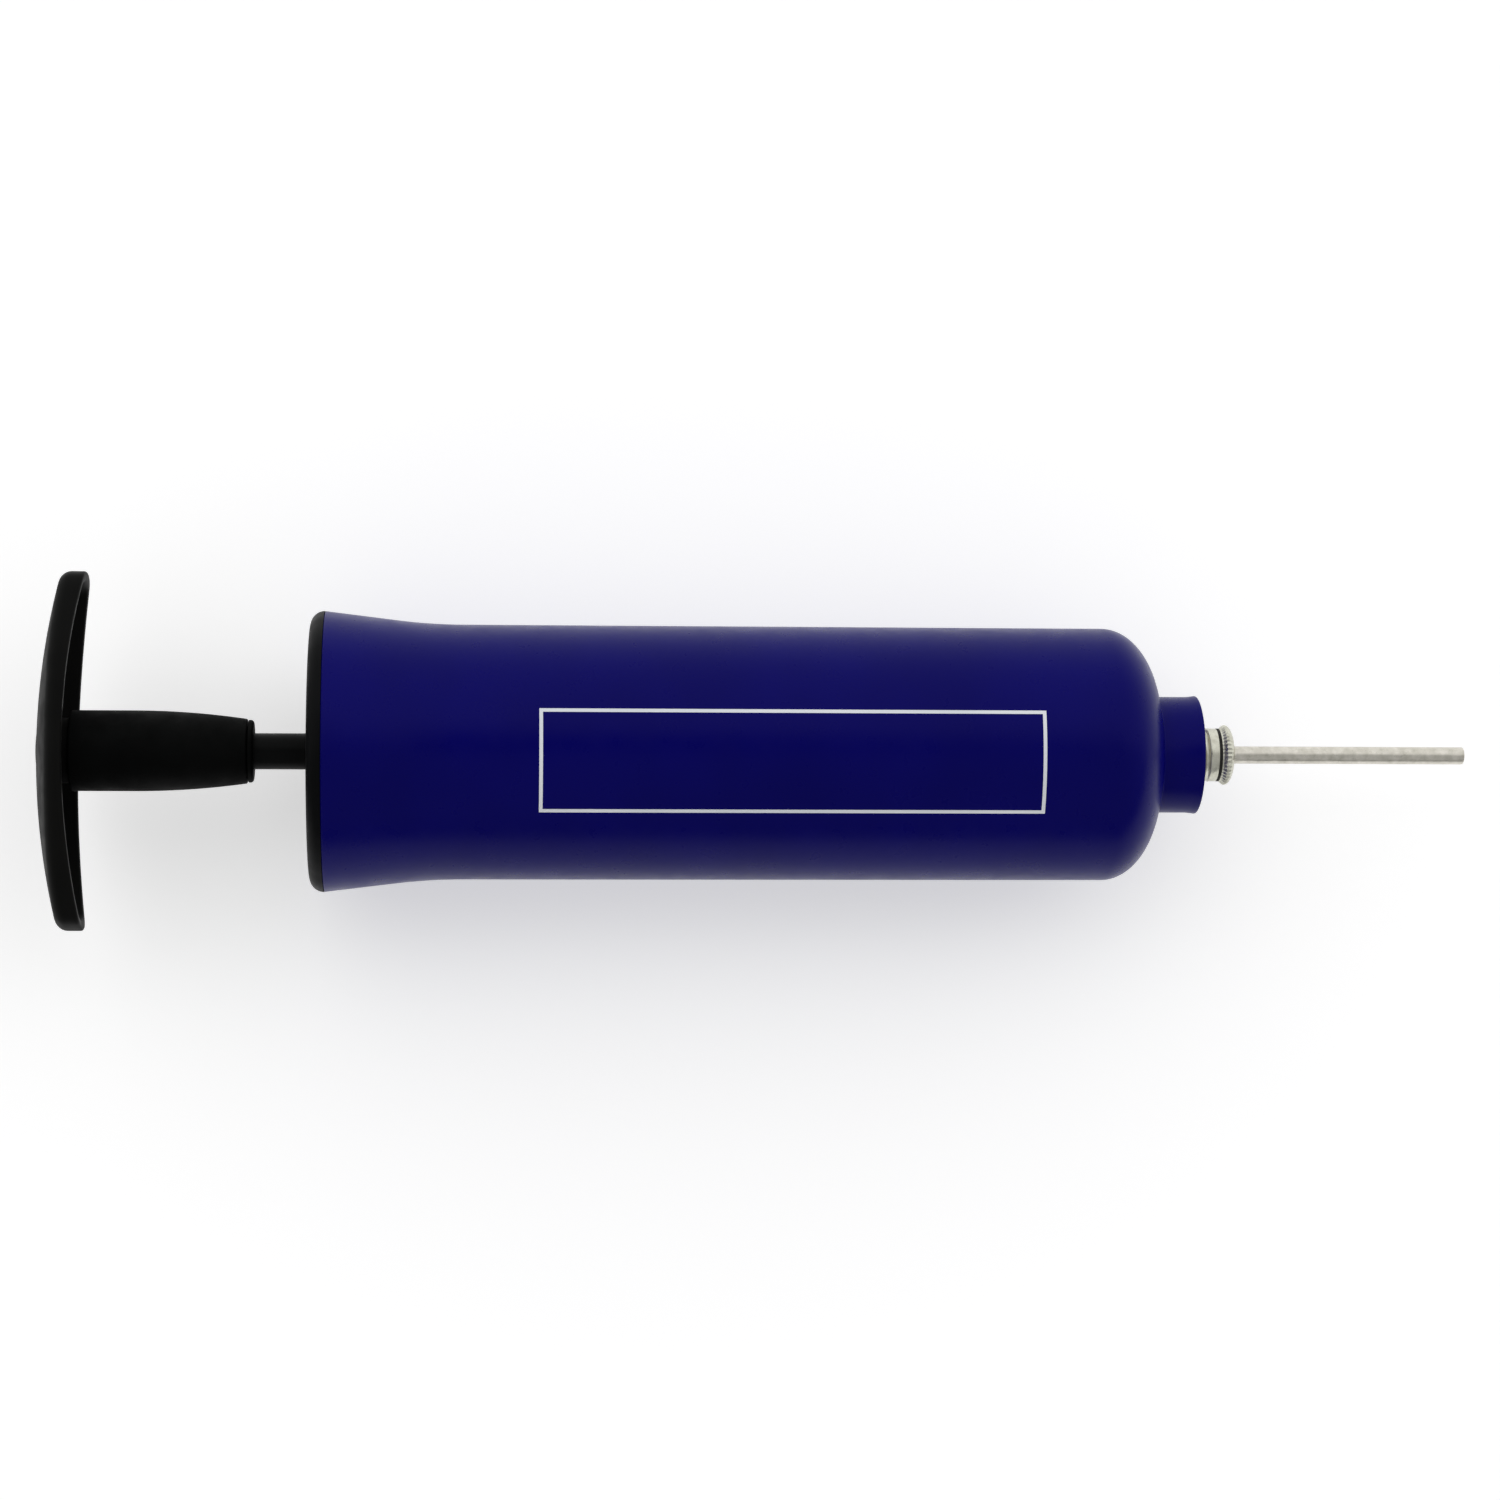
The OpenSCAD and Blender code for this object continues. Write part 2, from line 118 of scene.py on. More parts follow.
# ---------------------------------------------------------------- sizes of the handle
BAR_THICK = 4.5
BAR_WALL = 1.8
BAR_TIP_W = 8.0
BAR_END_R = 11.5
BAR_EDGE = 1.3
BAR_LIP = 0.45
BAR_RIM_STEP = 0.25
BAR_FILLET = 0.9
BOW_R = 101.0
RIM_BOW_R = 142.0
CROWN_R = 30.0
OUTLINE_STEPS = 176
CORNER_POWER = 90
PLUG_GAP = 0.03
PLUG_EDGE = 0.18
PLUG_DISH = 0.02
PLUG_CORE_R = 0.4
HOLE_LEAD_IN = ((0.35, 0.0), (0.17, 0.08))
HOLE_RIM = 0.2
SCREW_HOLE_R = PLUG_R - 1.0
STUD_R = 4.0
STUD_END = -79.3
SHOULDER_R = 4.6
SHOULDER_EDGE = 0.12
SHOULDER_FLARE = 0.8
SLEEVE_EDGE = 0.35
SLEEVE_END_EDGE = 0.12
SLEEVE_END_R = 4.42
TAPER_LEN = 16.6
SEAT_R = SLEEVE_END_R - 1.0
FERRULE_GAP = 0.15
FERRULE_EDGE = 0.12
FERRULE_NOSE = 0.45
FERRULE_BORE_R = ROD_R + 0.01

# ---------------------------------------------------------------- sizes of the needle
THREAD_PITCH = 0.79375
THREAD_R = 3.875
THREAD_DEPTH = 0.26
THREAD_PLAY = 0.02
THREAD_RUNOUT = 0.6 * THREAD_PITCH
THREAD_START = BOSS_END - 0.9
THREAD_END = BOSS_END + 1.85
THREAD_STEPS = 34
SHANK_R = THREAD_R - 0.06
SHANK_EDGE = (0.4, 0.5)
BAND_R = 3.8
BAND_END = THREAD_END + 1.15
BAND_EDGE = 0.08
BAND_ROOT = 0.03
GROOVE_R = BAND_R - 0.35
GROOVE_END = BAND_END + 0.4
FLANGE_DOME = 1.2
FLANGE_X = FLANGE_END - FLANGE_DOME
NOSE_R = TUBE_R + 0.5
KNURL_COUNT = 44
KNURL_DEPTH = 0.17
KNURL_START = 0.35
KNURL_FADE = 1.1
KNURL_SHARPNESS = 0.8
AIR_R = TUBE_R - 0.4
TUBE_ROOT_R = TUBE_R + 0.25
TUBE_EDGE = 0.22
SOLDER_R = 0.45
SOLDER_SINK = 0.12
SOLDER_GAP = 0.005
SOLDER_SKIN = 0.02

# ---------------------------------------------------------------- floor, light and camera values
FLOOR_SIZE = 6000.0
FLOOR_GAP = 0.02
FLOOR_GLOW = 0.42
SKY_LOW = 0.15
SKY_FAR = 1.0
SKY_NEAR = 0.5
SKY_GAP = 0.0
CAMERA_PLACE = (-46.0, -54.8, 521.1)
CAMERA_AIM = (-4.9, 0.45, 0.0)
CAMERA_ROLL = -0.25
CAMERA_LENS = 88.7
CAMERA_SENSOR = 36.0


# ---------------------------------------------------------------- mesh helpers
def arc(centre, r, start, end, steps):
    """Points on a circle in (x, r) from one angle to another, in degrees."""
    angles = [math.radians(start + (end - start) * i / steps) for i in range(steps + 1)]
    return [(centre[0] + r * math.cos(a), centre[1] + r * math.sin(a)) for a in angles]


def quarter(steps, first=0):
    """Angles over a quarter turn in equal steps, in radians, from the one numbered first."""
    return [math.pi / 2 * k / steps for k in range(first, steps + 1)]


def mesh_object(name, points, faces, sharp_angle=35):
    """A smooth-shaded object from points in millimetres, sharp at edges past the angle."""
    mesh = bpy.data.meshes.new(name)
    mesh.from_pydata([tuple(c * MM for c in p) for p in points], [], faces)
    mesh.validate()
    mesh.shade_smooth()
    mesh.set_sharp_from_angle(angle=math.radians(sharp_angle))
    obj = bpy.data.objects.new(name, mesh)
    scene.collection.objects.link(obj)
    return obj


def ring_mesh(name, rings, sharp_angle=35):
    """A closed mesh through rings of equally many points, the last ring joined to the first."""
    count = len(rings[0])
    points = [p for ring in rings for p in ring]
    faces = []
    for i in range(len(rings)):
        here, there = i * count, (i + 1) % len(rings) * count
        for k in range(count):
            k2 = (k + 1) % count
            faces.append((here + k, here + k2, there + k2, there + k))
    return mesh_object(name, points, faces, sharp_angle)


def circle(x, r, count):
    """Points round the pump's axis."""
    turns = [2 * math.pi * k / count for k in range(count)]
    return [(x, r * math.cos(t), r * math.sin(t)) for t in turns]


def turned(name, profile, count=128, sharp_angle=35):
    """A closed outline of (x, r) points turned about the pump's axis."""
    return ring_mesh(name, [circle(x, r, count) for x, r in profile], sharp_angle)


# ---------------------------------------------------------------- material helpers
# Texture scales are in waves to the millimetre.
DRIFT_SCALE = 0.06
GLOSS_SCALE = 0.35
WAVE_SCALE = 0.12
WAVE_DEPTH = 0.03
MOTTLE_SCALE = 0.9


def new_material(name):
    """A material with its nodes, its links and its Principled shader."""
    material = bpy.data.materials.new(name)
    material.use_nodes = True
    nodes = material.node_tree.nodes
    return material, nodes, material.node_tree.links, nodes["Principled BSDF"]


def coordinates(nodes, links, stretch=(1, 1, 1)):
    """The surface's own coordinates, in millimetres, stretched along an axis if asked."""
    source = nodes.new("ShaderNodeTexCoord")
    mapping = nodes.new("ShaderNodeMapping")
    mapping.inputs["Scale"].default_value = tuple(s / MM for s in stretch)
    links.new(source.outputs["Object"], mapping.inputs["Vector"])
    return mapping.outputs["Vector"]


def noise(nodes, links, vector, scale, detail=3.0, roughness=0.5):
    """A noise texture's value at a vector."""
    texture = nodes.new("ShaderNodeTexNoise")
    texture.inputs["Scale"].default_value = scale
    texture.inputs["Detail"].default_value = detail
    texture.inputs["Roughness"].default_value = roughness
    links.new(vector, texture.inputs["Vector"])
    return texture.outputs["Fac"]


def ramp(nodes, links, value, stops):
    """A colour ramp through (place, colour) stops."""
    node = nodes.new("ShaderNodeValToRGB")
    elements = node.color_ramp.elements
    while len(elements) < len(stops):
        elements.new(0.5)
    for element, (place, colour) in zip(elements, stops):
        element.position = place
        element.color = (*colour, 1)
    links.new(value, node.inputs["Fac"])
    return node.outputs["Color"]


def spread(nodes, links, value, low, high):
    """A texture value stretched from low to high, for roughness."""
    node = nodes.new("ShaderNodeMapRange")
    node.inputs["From Min"].default_value = 0.3
    node.inputs["From Max"].default_value = 0.7
    node.inputs["To Min"].default_value = low
    node.inputs["To Max"].default_value = high
    links.new(value, node.inputs["Value"])
    return node.outputs["Result"]


def bump(nodes, links, height, depth_mm, shader, after=None):
    """Bump of a depth in millimetres, on top of another bump if one is given."""
    node = nodes.new("ShaderNodeBump")
    node.inputs["Strength"].default_value = 1.0
    node.inputs["Distance"].default_value = depth_mm * MM
    links.new(height, node.inputs["Height"])
    if after is not None:
        links.new(after, node.inputs["Normal"])
    links.new(node.outputs["Normal"], shader.inputs["Normal"])
    return node.outputs["Normal"]


def plastic(name, dark, light, rough, specular, grain_mm, grain_depth, tint=(1, 1, 1)):
    """Moulded plastic: slow colour drift, uneven gloss, fine grain and long shallow waves."""
    material, nodes, links, shader = new_material(name)
    here = coordinates(nodes, links)
    drift = noise(nodes, links, here, DRIFT_SCALE, 2.0)
    links.new(ramp(nodes, links, drift, [(0.35, dark), (0.65, light)]), shader.inputs["Base Color"])
    gloss = noise(nodes, links, here, GLOSS_SCALE, 4.0)
    links.new(spread(nodes, links, gloss, *rough), shader.inputs["Roughness"])
    swell = noise(nodes, links, here, WAVE_SCALE, 1.0)
    waves = bump(nodes, links, swell, WAVE_DEPTH, shader)
    grain = noise(nodes, links, here, 1 / grain_mm, 2.0)
    bump(nodes, links, grain, grain_depth, shader, after=waves)
    shader.inputs["Specular IOR Level"].default_value = specular
    shader.inputs["Specular Tint"].default_value = (*tint, 1)
    return material


def metal(name, dark, light, rough, lines, line_depth):
    """Nickel plate: mottled tone, and fine tool marks stretched along the axis given in lines."""
    material, nodes, links, shader = new_material(name)
    here = coordinates(nodes, links)
    mottle = noise(nodes, links, here, MOTTLE_SCALE, 5.0, 0.6)
    links.new(ramp(nodes, links, mottle, [(0.3, dark), (0.7, light)]), shader.inputs["Base Color"])
    marks = noise(nodes, links, coordinates(nodes, links, lines), 1.0, 3.0)
    links.new(spread(nodes, links, marks, *rough), shader.inputs["Roughness"])
    bump(nodes, links, marks, line_depth, shader)
    shader.inputs["Metallic"].default_value = 1.0
    return material


# ---------------------------------------------------------------- materials
BARREL_BLUE = plastic(
    "barrel_blue", dark=(0.0006, 0.0004, 0.114), light=(0.0010, 0.0007, 0.130),
    rough=(0.26, 0.34), specular=0.075, grain_mm=0.9, grain_depth=0.0006, tint=(0.95, 0.85, 1.0),
)
CAP_BLACK = plastic(
    "cap_black", dark=(0.0028, 0.0031, 0.0034), light=(0.0050, 0.0053, 0.0058),
    rough=(0.36, 0.52), specular=0.04, grain_mm=0.25, grain_depth=0.006,
)
HANDLE_BLACK = plastic(
    "handle_black", dark=(0.0034, 0.0035, 0.0033), light=(0.0060, 0.0060, 0.0056),
    rough=(0.42, 0.56), specular=0.045, grain_mm=0.22, grain_depth=0.008,
)
SLEEVE_BLACK = plastic(
    "sleeve_black", dark=(0.0008, 0.0010, 0.0010), light=(0.0020, 0.0023, 0.0022),
    rough=(0.55, 0.75), specular=0.05, grain_mm=0.3, grain_depth=0.012,
)
ROD_BLACK = plastic(
    "rod_black", dark=(0.0026, 0.0030, 0.0030), light=(0.0044, 0.0048, 0.0048),
    rough=(0.34, 0.48), specular=0.06, grain_mm=0.4, grain_depth=0.004,
)
RUBBER = plastic(
    "seal_rubber", dark=(0.010, 0.0095, 0.008), light=(0.022, 0.021, 0.018),
    rough=(0.6, 0.8), specular=0.3, grain_mm=0.2, grain_depth=0.01,
)
BALL_RUBBER = plastic(
    "ball_rubber", dark=(0.13, 0.02, 0.012), light=(0.17, 0.03, 0.02),
    rough=(0.5, 0.7), specular=0.3, grain_mm=0.2, grain_depth=0.008,
)
PISTON_PLASTIC = plastic(
    "piston_plastic", dark=(0.52, 0.52, 0.48), light=(0.62, 0.61, 0.57),
    rough=(0.4, 0.55), specular=0.4, grain_mm=0.3, grain_depth=0.006,
)
NEEDLE_NICKEL = metal(
    "needle_nickel", dark=(0.52, 0.51, 0.43), light=(0.72, 0.72, 0.62),
    rough=(0.26, 0.42), lines=(8.0, 0.6, 0.6), line_depth=0.006,
)
TUBE_NICKEL = metal(
    "tube_nickel", dark=(0.55, 0.53, 0.46), light=(0.76, 0.73, 0.66),
    rough=(0.26, 0.42), lines=(0.35, 6.0, 6.0), line_depth=0.006,
)
SCREW_STEEL = metal(
    "screw_steel", dark=(0.40, 0.40, 0.40), light=(0.62, 0.62, 0.62),
    rough=(0.25, 0.4), lines=(4.0, 4.0, 4.0), line_depth=0.004,
)
INSERT_BRASS = metal(
    "insert_brass", dark=(0.45, 0.42, 0.33), light=(0.68, 0.64, 0.53),
    rough=(0.25, 0.4), lines=(6.0, 0.6, 0.6), line_depth=0.004,
)
PRINT_WHITE = plastic(
    "print_white", dark=(0.80, 0.84, 0.90), light=(0.92, 0.94, 0.97),
    rough=(0.45, 0.6), specular=0.35, grain_mm=0.3, grain_depth=0.006,
)

CAD_FINISHES = {
    "end_cap": CAP_BLACK,
    "outlet_insert": INSERT_BRASS,
    "needle_gasket": RUBBER,
    "valve_seat": RUBBER,
    "valve_plug": PISTON_PLASTIC,
    "valve_spring": SCREW_STEEL,
    "valve_ball": BALL_RUBBER,
    "piston_ring": RUBBER,
    "piston_rod": ROD_BLACK,
    "piston_back": PISTON_PLASTIC,
    "piston_front": PISTON_PLASTIC,
    "piston_screw": SCREW_STEEL,
    "rod_stop": RUBBER,
    "handle_screw": SCREW_STEEL,
    "needle_ring": RUBBER,
}
for node_name, finish in CAD_FINISHES.items():
    node = frame["nodes"][node_name]
    for material_slot in node.material_slots:
        material_slot.material = finish


def dress(obj, material, body, slot_name, *nodes):
    """Gives a new piece its finish, the body that it rides on and the CAD nodes it stands for."""
    obj.data.materials.append(material)
    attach(obj, body)
    if nodes:
        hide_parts(*nodes)
    return obj


# ---------------------------------------------------------------- barrel
def flare_radius(d):
    """Outer radius at a distance d back from the end of the straight part."""
    slope = (MOUTH_R - BARREL_R) / (FLARE_LEN - FLARE_BEND / 2)
    reach = d * d / (2 * FLARE_BEND) if d < FLARE_BEND else d - FLARE_BEND / 2
    return BARREL_R + slope * reach


def barrel_profile():
    """Outside from the mouth to the boss, then back along the bore to the cap's spigot."""
    bore_r = BARREL_R - BARREL_WALL
    points = [(MOUTH_X, MOUTH_R - MOUTH_EDGE)]
    points += arc((MOUTH_X + MOUTH_EDGE, MOUTH_R - MOUTH_EDGE), MOUTH_EDGE, 160, 95, 3)
    flare_steps = 28
    length = FLARE_LEN - MOUTH_EDGE
    for i in range(flare_steps + 1):
        d = length - length * i / flare_steps
        points.append((-STRAIGHT_END - d, flare_radius(d)))
    points += [(-STRAIGHT_END + 2 * STRAIGHT_END * i / 12, BARREL_R) for i in range(1, 12)]
    dome_len = DOME_END - STRAIGHT_END
    for a in quarter(32)[:-1]:
        r = DOME_FLAT_R + (BARREL_R - DOME_FLAT_R) * math.cos(a)
        if r > BOSS_R + BOSS_ROOT_GAP:
            points.append((STRAIGHT_END + dome_len * math.sin(a), r))
    points += arc((DOME_END + BOSS_ROOT, BOSS_R + BOSS_ROOT), BOSS_ROOT, 180, 270, 4)
    points.append((BOSS_END - BOSS_BEAD_LEN, BOSS_R))
    points.append((BOSS_END - BOSS_BEAD_LEN / 2, BOSS_R + BOSS_BEAD / 2))
    points += arc((BOSS_END - BOSS_EDGE, BOSS_R + BOSS_BEAD - BOSS_EDGE), BOSS_EDGE, 90, 0, 4)
    points += [(BOSS_END, INSERT_R + 2 * BORE_CHAMFER), (BOSS_END - BORE_CHAMFER, INSERT_R)]
    points += [(INSERT_X, INSERT_R), (INSERT_X, BORE_CONE_R), (INSERT_X - BORE_CONE_LEN, bore_r)]
    spigot_end = MOUTH_X + SPIGOT_LEN
    return points + [(spigot_end, bore_r), (spigot_end, SPIGOT_R), (MOUTH_X, SPIGOT_R)]


barrel_shell = turned("barrel_shell", barrel_profile(), 192)
dress(barrel_shell, BARREL_BLUE, "barrel", "barrel_blue", "barrel")


def print_frame():
    """A plain printed rectangle wrapped on the barrel, as a thin closed band of ink."""
    corners = [(PRINT_X[0], PRINT_TURN[0]), (PRINT_X[1], PRINT_TURN[0])]
    corners += [(PRINT_X[1], PRINT_TURN[1]), (PRINT_X[0], PRINT_TURN[1])]
    inward = [(1, 1), (-1, 1), (-1, -1), (1, -1)]
    line_turn = math.degrees(PRINT_LINE / BARREL_R)
    rings = []
    for i in range(4):
        j = (i + 1) % 4
        for k in range(PRINT_SIDE_STEPS):
            t = k / PRINT_SIDE_STEPS
            x = corners[i][0] * (1 - t) + corners[j][0] * t
            turn = corners[i][1] * (1 - t) + corners[j][1] * t
            dx = inward[i][0] * (1 - t) + inward[j][0] * t
            dt = inward[i][1] * (1 - t) + inward[j][1] * t
            ring = []
            for x1, turn1, r in [
                (x, turn, BARREL_R - PRINT_T),
                (x, turn, BARREL_R + PRINT_T),
                (x + dx * PRINT_LINE, turn + dt * line_turn, BARREL_R + PRINT_T),
                (x + dx * PRINT_LINE, turn + dt * line_turn, BARREL_R - PRINT_T),
            ]:
                a = math.radians(turn1)
                ring.append((x1, -r * math.sin(a), r * math.cos(a)))
            rings.append(ring)
    return ring_mesh("print_frame", rings, 30)


dress(print_frame(), PRINT_WHITE, "barrel", "print_white")


# ---------------------------------------------------------------- handle
def outline(inset):
    """Points round the T-bar's oval, drawn in by inset, as (y, z), the same number for any inset."""
    narrowing = BAR_HALF_W - BAR_TIP_W / 2
    side_r = (BAR_HALF_LEN**2 + narrowing**2) / (2 * narrowing)
    end_y = BAR_HALF_LEN - BAR_END_R
    points = []
    for k in range(OUTLINE_STEPS):
        s = 2 * math.pi * (k + 0.5) / OUTLINE_STEPS
        direction = Vector((BAR_HALF_LEN * math.cos(s), BAR_HALF_W * math.sin(s))).normalized()
        y, z = abs(direction.x), abs(direction.y)
        drop = (side_r - BAR_HALF_W) * z
        reach = math.sqrt(drop**2 - (side_r - BAR_HALF_W) ** 2 + (side_r - inset) ** 2) - drop
        under = (BAR_END_R - inset) ** 2 - (end_y * z) ** 2
        end_reach = end_y * y + math.sqrt(under) if under > 0 else 0
        if end_reach * y >= end_y:
            reach = (reach**-CORNER_POWER + end_reach**-CORNER_POWER) ** (-1 / CORNER_POWER)
        points.append(tuple(direction * reach))
    return points


def outer_face(y, z):
    """The T-bar's outer face, bowed along its length and crowned across it."""
    r = BOW_R - CROWN_R + math.sqrt(CROWN_R**2 - z * z)
    return BAR_X + BOW_R - math.sqrt(r * r - y * y)


def rim_face(y):
    """The T-bar's rim, on a shallower bow than the outer face."""
    return BAR_X + BAR_THICK + RIM_BOW_R - math.sqrt(RIM_BOW_R**2 - y * y)


def floor_face(y):
    """The floor of the T-bar's hollow."""
    r = BOW_R - BAR_WALL
    return BAR_X + BAR_WALL + r - math.sqrt(r * r - y * y)


def handle_rings():
    """Out over the outer face, round the rim, in over the hollow's floor and down the stud."""
    side = outline(0)
    turns = [math.atan2(z, y) for y, z in side]

    def hoop(x, r):
        return [(x, r * math.cos(a), r * math.sin(a)) for a in turns]

    def between(inner_r, inset, t, face, drop=0.0):
        """A ring a share t of the way from a circle to the inset outline, laid on a face."""
        ring = []
        for (y, z), a in zip(outline(inset), turns):
            y1 = inner_r * math.cos(a) * (1 - t) + y * t
            z1 = inner_r * math.sin(a) * (1 - t) + z * t
            ring.append((face(y1, z1) + drop, y1, z1))
        return ring

    hole_r = PLUG_R + PLUG_GAP
    rings = [hoop(PLUG_END, hole_r)]
    rings += [hoop(BAR_X + depth, hole_r + wider) for depth, wider in HOLE_LEAD_IN]
    rings += [between(hole_r + HOLE_RIM, BAR_EDGE, t / 10, outer_face) for t in range(11)]
    for a in quarter(6, 1):
        inset, drop = BAR_EDGE * (1 - math.sin(a)), BAR_EDGE * (1 - math.cos(a))
        rings.append(between(0, inset, 1, outer_face, drop))
    for t in (0.33, 0.66, 1.0):
        rings.append([
            ((outer_face(y, z) + BAR_EDGE) * (1 - t) + (rim_face(y) - BAR_LIP) * t, y, z)
            for y, z in side
        ])
    for a in quarter(4, 1):
        ring = outline(BAR_LIP * (1 - math.cos(a)))
        rings.append([(rim_face(y) - BAR_LIP * (1 - math.sin(a)), y, z) for y, z in ring])
    inner = BAR_WALL - BAR_RIM_STEP
    for a in quarter(4):
        ring = outline(inner - BAR_LIP * (1 - math.sin(a)))
        rings.append([(rim_face(y) - BAR_LIP * (1 - math.cos(a)), y, z) for y, z in ring])
    for a in quarter(5):
        ring = outline(inner + BAR_RIM_STEP + BAR_FILLET * (1 - math.cos(a)))
        rings.append([(floor_face(y) + BAR_FILLET * (1 - math.sin(a)), y, z) for y, z in ring])
    root_r, root_inset = SHOULDER_R + SHOULDER_FLARE, BAR_WALL + BAR_FILLET
    for k in range(1, 9):
        rings.append(between(root_r, root_inset, 1 - k / 8, lambda y, z: floor_face(y)))
    for a in quarter(5, 1):
        x = BAR_X + BAR_WALL + SHOULDER_FLARE * (1 - math.cos(a))
        rings.append(hoop(x, SHOULDER_R + SHOULDER_FLARE * (1 - math.sin(a))))
    stud = [(SLEEVE_X - SHOULDER_EDGE, SHOULDER_R), (SLEEVE_X, SHOULDER_R - SHOULDER_EDGE)]
    stud += [(SLEEVE_X, STUD_R), (STUD_END, STUD_R), (STUD_END, ROD_R), (ROD_X, ROD_R)]
    stud += [(ROD_X, SCREW_HOLE_R), (PLUG_END, SCREW_HOLE_R)]
    return rings + [hoop(x, r) for x, r in stud]


handle_skin = ring_mesh("handle_skin", handle_rings(), 40)
dress(handle_skin, HANDLE_BLACK, "plunger", "handle_black", "handle_bar")


def plug_profile():
    """The plug over the handle's screw, with a softened rim and a small dish in its middle."""
    rim = [(PLUG_X + PLUG_EDGE, PLUG_R), (PLUG_END, PLUG_R)]
    rim += [(PLUG_END, PLUG_CORE_R), (PLUG_X + PLUG_DISH, PLUG_CORE_R)]
    return rim + arc((PLUG_X + PLUG_EDGE, PLUG_R - PLUG_EDGE), PLUG_EDGE, 180, 90, 4)[:-1]


def sleeve_profile():
    """The grip sleeve: straight, then a long arc down to its small end, with softened ends."""
    drop = SLEEVE_R - SLEEVE_END_R
    taper_r = (TAPER_LEN**2 + drop**2) / (2 * drop)
    taper_x = FERRULE_END - TAPER_LEN
    points = arc((SLEEVE_X + SLEEVE_EDGE, SLEEVE_R - SLEEVE_EDGE), SLEEVE_EDGE, 180, 90, 5)
    points += [(SLEEVE_X + (taper_x - SLEEVE_X) * i / 5, SLEEVE_R) for i in range(1, 5)]
    taper_steps = 24
    length = SLEEVE_END - SLEEVE_END_EDGE - taper_x
    for i in range(taper_steps + 1):
        x = length * i / taper_steps
        points.append((taper_x + x, SLEEVE_R - taper_r + math.sqrt(taper_r**2 - x * x)))
    last_r = points[-1][1]
    points += [(SLEEVE_END, last_r - SLEEVE_END_EDGE), (SLEEVE_END, SEAT_R), (STUD_END, SEAT_R)]
    return points + [(STUD_END, STUD_R), (SLEEVE_X, STUD_R)]


sleeve_skin = turned("sleeve_skin", sleeve_profile(), 128)
dress(sleeve_skin, SLEEVE_BLACK, "plunger", "sleeve_black", "grip_sleeve")


def ferrule_profile():
    """The ring past the sleeve's end: a hidden seat, then a lip with a rounded nose."""
    start = span("sleeve_ferrule")[0]
    lip_x = SLEEVE_END + FERRULE_GAP
    points = [(start, FERRULE_BORE_R), (start, SEAT_R), (lip_x, SEAT_R)]
    points += arc((lip_x + FERRULE_EDGE, SLEEVE_END_R - FERRULE_EDGE), FERRULE_EDGE, 180, 90, 3)
    nose = (FERRULE_END - FERRULE_NOSE, SLEEVE_END_R - FERRULE_NOSE)
    points += arc(nose, FERRULE_NOSE, 90, 0, 6)
    return points + [(FERRULE_END, FERRULE_BORE_R)]


ferrule_skin = turned("ferrule_skin", ferrule_profile(), 96)
dress(ferrule_skin, SLEEVE_BLACK, "plunger", "sleeve_black", "sleeve_ferrule")
plug_skin = turned("plug_skin", plug_profile(), 96)
dress(plug_skin, HANDLE_BLACK, "plunger", "handle_black", "screw_plug")


# ---------------------------------------------------------------- needle
def needle_radius(x, turn):
    """Outer radius of the needle base at a place along X and an angle in turns, 0 to 1."""
    if x <= THREAD_END:
        phase = ((x / THREAD_PITCH) - turn) % 1.0
        fade = min(1.0, max(0.0, (THREAD_END - x) / THREAD_RUNOUT))
        return THREAD_R - THREAD_DEPTH * fade * abs(2 * phase - 1) - THREAD_PLAY
    if x <= BAND_END:
        return BAND_R
    if x <= FLANGE_X:
        t = (x - GROOVE_END) / (FLANGE_X - GROOVE_END)
        r = BAND_R + (FLANGE_R - BAND_R) * t * t * (3 - 2 * t)
        depth = KNURL_DEPTH * min(1.0, KNURL_START + t)
    else:
        t = min(1.0, (x - FLANGE_X) / FLANGE_DOME)
        r = NOSE_R + (FLANGE_R - NOSE_R) * math.sqrt(max(0.0, 1 - t * t))
        depth = KNURL_DEPTH * max(0.0, 1 - KNURL_FADE * t)
    ridge = abs(2 * ((turn * KNURL_COUNT) % 1.0) - 1)
    return r - depth * (1 - ridge) ** KNURL_SHARPNESS


def needle_base_rings():
    """The shank, its thread, the plain band, the ring's groove and the knurled, domed flange."""
    count = KNURL_COUNT * 6

    def ring(x, r=None):
        """A ring at one radius, or at the needle's own radius where none is given."""
        points = []
        for k in range(count):
            turn = k / count
            here = needle_radius(x, turn) if r is None else r
            a = 2 * math.pi * turn
            points.append((x, here * math.cos(a), here * math.sin(a)))
        return points

    edge_len, edge_drop = SHANK_EDGE
    rings = [ring(BASE_X, AIR_R), ring(BASE_X, THREAD_R - edge_drop), ring(BASE_X + edge_len, SHANK_R)]
    rings.append(ring(THREAD_START - 0.01, SHANK_R))
    thread_len = THREAD_END - THREAD_START
    rings += [ring(THREAD_START + thread_len * k / THREAD_STEPS) for k in range(THREAD_STEPS + 1)]
    rings += [ring(THREAD_END + BAND_ROOT, BAND_R), ring(BAND_END - BAND_EDGE, BAND_R)]
    rings += [ring(BAND_END, BAND_R - BAND_EDGE), ring(BAND_END, GROOVE_R), ring(GROOVE_END, GROOVE_R)]
    rings += [ring(GROOVE_END + 0.001 + (FLANGE_X - GROOVE_END) * k / 8) for k in range(9)]
    rings += [ring(FLANGE_X + FLANGE_DOME * math.sin(a)) for a in quarter(14, 1)]
    rings += [ring(FLANGE_END, TUBE_ROOT_R), ring(TUBE_X, TUBE_ROOT_R), ring(TUBE_X, AIR_R)]
    return rings


needle_skin = ring_mesh("needle_base_skin", needle_base_rings(), 50)
dress(needle_skin, NEEDLE_NICKEL, "needle", "needle_nickel", "needle_base")


